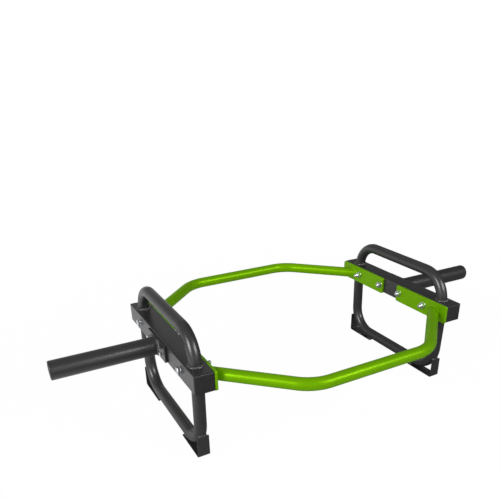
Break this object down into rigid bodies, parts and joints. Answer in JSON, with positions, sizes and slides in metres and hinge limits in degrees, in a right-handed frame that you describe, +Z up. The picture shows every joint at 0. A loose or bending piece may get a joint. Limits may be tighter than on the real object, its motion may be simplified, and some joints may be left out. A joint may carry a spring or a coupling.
{
  "type": "hex trap bar",
  "caption": "Hexagonal lifting bar with bent top handles, low tube stands and round plate sleeves, bolted between two square cross beams.",
  "frame": {"origin": "on the floor under the middle of the bar", "axes": "+X along the plate sleeves to the right, +Y from the front to the rear, +Z up"},
  "size_m": [1.365, 0.7688, 0.3411],
  "materials": {
    "frame_coat": "satin black powder coat on steel",
    "hexagon_coat": "glossy lime green powder coat on steel",
    "cap_plastic": "black moulded plastic",
    "zinc_hardware": "bright zinc plated steel"
  },
  "bodies": {
    "root": {"front_hexagon_tube": "hexagon_coat", "front_left_beam_cap": "cap_plastic", "front_left_foot": "frame_coat", "front_left_foot_welds": "frame_coat", "front_left_hexagon_weld": "hexagon_coat", "front_left_mount_plate": "hexagon_coat", "front_right_beam_cap": "cap_plastic", "front_right_foot": "frame_coat", "front_right_foot_welds": "frame_coat", "front_right_hexagon_weld": "hexagon_coat", "front_right_mount_plate": "hexagon_coat", "left_beam": "frame_coat", "left_bolts": "zinc_hardware", "left_handle": "frame_coat", "left_handle_welds": "frame_coat", "left_head_washers": "zinc_hardware", "left_lock_nuts": "zinc_hardware", "left_nut_washers": "zinc_hardware", "left_sleeve": "frame_coat", "left_sleeve_cap": "cap_plastic", "left_sleeve_plate": "frame_coat", "left_sleeve_weld": "frame_coat", "left_stand": "frame_coat", "left_stand_welds": "frame_coat", "rear_hexagon_tube": "hexagon_coat", "rear_left_beam_cap": "cap_plastic", "rear_left_foot": "frame_coat", "rear_left_foot_welds": "frame_coat", "rear_left_hexagon_weld": "hexagon_coat", "rear_left_mount_plate": "hexagon_coat", "rear_right_beam_cap": "cap_plastic", "rear_right_foot": "frame_coat", "rear_right_foot_welds": "frame_coat", "rear_right_hexagon_weld": "hexagon_coat", "rear_right_mount_plate": "hexagon_coat", "right_beam": "frame_coat", "right_bolts": "zinc_hardware", "right_handle": "frame_coat", "right_handle_welds": "frame_coat", "right_head_washers": "zinc_hardware", "right_lock_nuts": "zinc_hardware", "right_nut_washers": "zinc_hardware", "right_sleeve": "frame_coat", "right_sleeve_cap": "cap_plastic", "right_sleeve_plate": "frame_coat", "right_sleeve_weld": "frame_coat", "right_stand": "frame_coat", "right_stand_welds": "frame_coat"}
  },
  "joints": []
}
